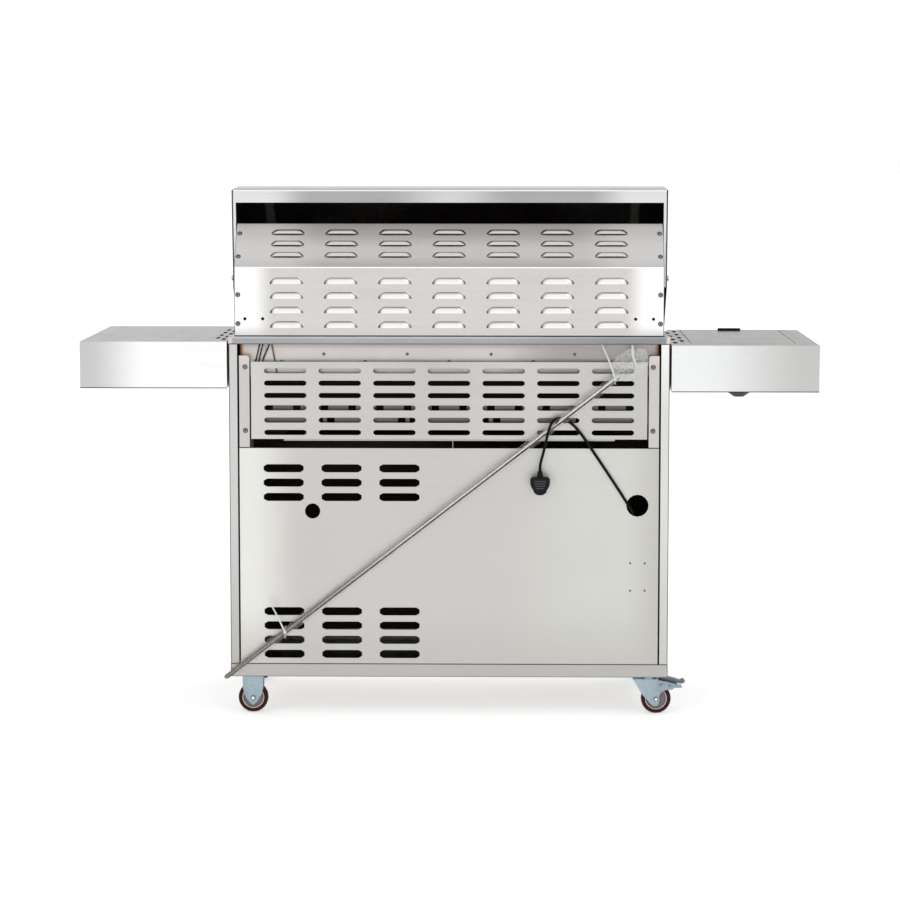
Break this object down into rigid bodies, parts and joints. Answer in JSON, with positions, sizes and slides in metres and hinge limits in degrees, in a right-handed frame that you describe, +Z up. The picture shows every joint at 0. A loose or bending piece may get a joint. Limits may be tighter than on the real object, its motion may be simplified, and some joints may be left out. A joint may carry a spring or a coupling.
{
  "type": "rotisserie barbecue trolley",
  "caption": "Stainless gas barbecue trolley on casters with a louvred hood, side shelves, a side burner and a square rotisserie spit tied diagonally across its back.",
  "frame": {"origin": "on the floor under the middle of the trolley", "axes": "+X to the cook's right along the trolley, +Y from the cook towards the trolley's back, +Z up"},
  "size_m": [1.828, 0.662, 1.3165],
  "materials": {
    "stainless": "brushed",
    "zinc": "zinc plated",
    "cast_iron": "seasoned matte",
    "burner_face": "ceramic grid in a steel case",
    "tyre": "satin",
    "black_plastic": "satin",
    "cord_pvc": "satin",
    "grey_plastic": "satin",
    "brake_steel": "satin paint",
    "nylon": "natural nylon",
    "dial": "enamel dial in a steel rim"
  },
  "bodies": {
    "trolley": {"base_tray": "stainless", "side_panel_left": "stainless", "side_panel_right": "stainless", "cabinet_back_panel": "stainless", "door_frame": "stainless", "rear_rail": "stainless", "heat_shield": "stainless", "shield_bracket_left": "stainless", "shield_bracket_right": "stainless", "power_supply": "grey_plastic", "firebox": "stainless", "burner_1": "stainless", "burner_2": "stainless", "burner_3": "stainless", "burner_4": "stainless", "burner_5": "stainless", "gas_manifold": "stainless", "cooking_grate_left": "cast_iron", "cooking_grate_right": "cast_iron", "hood_frame": "stainless", "rear_burner": "burner_face", "rear_louvre_panel": "stainless", "upper_louvre_panel": "stainless", "control_panel": "stainless", "side_shelf_left": "stainless", "side_shelf_right": "stainless", "side_burner": "cast_iron", "fixed_fork_rear": "zinc", "fixed_fork_front": "zinc", "caster_plate_rear": "zinc", "caster_plate_front": "zinc", "cable_tie_lower": "nylon", "cable_tie_upper": "nylon", "power_cord": "cord_pvc", "mains_plug": "black_plastic"},
    "lid": {"lid_shell": "stainless", "lid_handle": "stainless", "thermometer": "dial"},
    "left_door": {"door_left": "stainless", "door_handle_left": "stainless"},
    "right_door": {"door_right": "stainless", "door_handle_right": "stainless"},
    "grease_tray": {"drip_tray": "stainless"},
    "side_lid": {"side_burner_lid": "stainless"},
    "spit": {"spit_rod": "stainless"},
    "side_burner_knob": {"knob_side_burner": "black_plastic"},
    "burner_knob_1": {"knob_1": "black_plastic"},
    "burner_knob_2": {"knob_2": "black_plastic"},
    "burner_knob_3": {"knob_3": "black_plastic"},
    "burner_knob_4": {"knob_4": "black_plastic"},
    "burner_knob_5": {"knob_5": "black_plastic"},
    "rear_burner_knob": {"knob_rear_burner": "black_plastic"},
    "fixed_wheel_rear_body": {"fixed_wheel_rear": "tyre"},
    "fixed_wheel_front_body": {"fixed_wheel_front": "tyre"},
    "swivel_rear_fork_body": {"swivel_fork_rear": "zinc"},
    "swivel_rear_wheel_body": {"swivel_wheel_rear": "tyre"},
    "swivel_rear_brake_body": {"brake_pedal_rear": "brake_steel"},
    "swivel_front_fork_body": {"swivel_fork_front": "zinc"},
    "swivel_front_wheel_body": {"swivel_wheel_front": "tyre"},
    "swivel_front_brake_body": {"brake_pedal_front": "brake_steel"}
  },
  "joints": [
    {"name": "lid_hinge", "type": "hinge", "parent": "trolley", "child": "lid", "pos_m": [0, 0.156, 1.09], "axis": [-1, 0, 0], "range_deg": [0, 90]},
    {"name": "left_door_hinge", "type": "hinge", "parent": "trolley", "child": "left_door", "pos_m": [-0.506, -0.26, 0.4], "axis": [0, 0, -1], "range_deg": [0, 110]},
    {"name": "right_door_hinge", "type": "hinge", "parent": "trolley", "child": "right_door", "pos_m": [0.506, -0.26, 0.4], "axis": [0, 0, 1], "range_deg": [0, 110]},
    {"name": "grease_tray_slide", "type": "slide", "parent": "trolley", "child": "grease_tray", "axis": [0, -1, 0], "range_m": [0, 0.42]},
    {"name": "side_lid_hinge", "type": "hinge", "parent": "trolley", "child": "side_lid", "pos_m": [-0.73175, 0.2075, 0.9305], "axis": [-1, 0, 0], "range_deg": [0, 95]},
    {"name": "side_burner_knob_turn", "type": "hinge", "parent": "trolley", "child": "side_burner_knob", "pos_m": [-0.4161, -0.3, 0.85], "axis": [0, -1, 0], "range_deg": [0, 180]},
    {"name": "burner_knob_1_turn", "type": "hinge", "parent": "trolley", "child": "burner_knob_1", "pos_m": [-0.2774, -0.3, 0.85], "axis": [0, -1, 0], "range_deg": [0, 180]},
    {"name": "burner_knob_2_turn", "type": "hinge", "parent": "trolley", "child": "burner_knob_2", "pos_m": [-0.1387, -0.3, 0.85], "axis": [0, -1, 0], "range_deg": [0, 180]},
    {"name": "burner_knob_3_turn", "type": "hinge", "parent": "trolley", "child": "burner_knob_3", "pos_m": [0, -0.3, 0.85], "axis": [0, -1, 0], "range_deg": [0, 180]},
    {"name": "burner_knob_4_turn", "type": "hinge", "parent": "trolley", "child": "burner_knob_4", "pos_m": [0.1387, -0.3, 0.85], "axis": [0, -1, 0], "range_deg": [0, 180]},
    {"name": "burner_knob_5_turn", "type": "hinge", "parent": "trolley", "child": "burner_knob_5", "pos_m": [0.2774, -0.3, 0.85], "axis": [0, -1, 0], "range_deg": [0, 180]},
    {"name": "rear_burner_knob_turn", "type": "hinge", "parent": "trolley", "child": "rear_burner_knob", "pos_m": [0.4161, -0.3, 0.85], "axis": [0, -1, 0], "range_deg": [0, 180]},
    {"name": "fixed_wheel_rear_spin", "type": "hinge", "parent": "trolley", "child": "fixed_wheel_rear_body", "pos_m": [0.494, 0.226, 0.03748], "axis": [0, 1, 0], "continuous": true},
    {"name": "fixed_wheel_front_spin", "type": "hinge", "parent": "trolley", "child": "fixed_wheel_front_body", "pos_m": [0.512, -0.228, 0.03748], "axis": [0, 1, 0], "continuous": true},
    {"name": "swivel_rear_turn", "type": "hinge", "parent": "trolley", "child": "swivel_rear_fork_body", "pos_m": [-0.5008, 0.226, 0.0915], "axis": [0, 0, 1], "continuous": true},
    {"name": "swivel_wheel_rear_spin", "type": "hinge", "parent": "swivel_rear_fork_body", "child": "swivel_rear_wheel_body", "pos_m": [-0.5193, 0.226, 0.03748], "axis": [0, 1, 0], "continuous": true},
    {"name": "brake_rear_press", "type": "hinge", "parent": "swivel_rear_fork_body", "child": "swivel_rear_brake_body", "pos_m": [-0.5288, 0.226, 0.0903], "axis": [0, -1, 0], "range_deg": [0, 5]},
    {"name": "swivel_front_turn", "type": "hinge", "parent": "trolley", "child": "swivel_front_fork_body", "pos_m": [-0.5008, -0.222, 0.0915], "axis": [0, 0, 1], "continuous": true},
    {"name": "swivel_wheel_front_spin", "type": "hinge", "parent": "swivel_front_fork_body", "child": "swivel_front_wheel_body", "pos_m": [-0.5008, -0.2405, 0.03748], "axis": [-1, 0, 0], "continuous": true},
    {"name": "brake_front_press", "type": "hinge", "parent": "swivel_front_fork_body", "child": "swivel_front_brake_body", "pos_m": [-0.5008, -0.25, 0.0903], "axis": [1, 0, 0], "range_deg": [0, 5]},
    {"name": "spit_slide", "type": "slide", "parent": "trolley", "child": "spit", "axis": [-0.7901, 0.013, 0.6128], "range_m": [0, 1.1]}
  ]
}
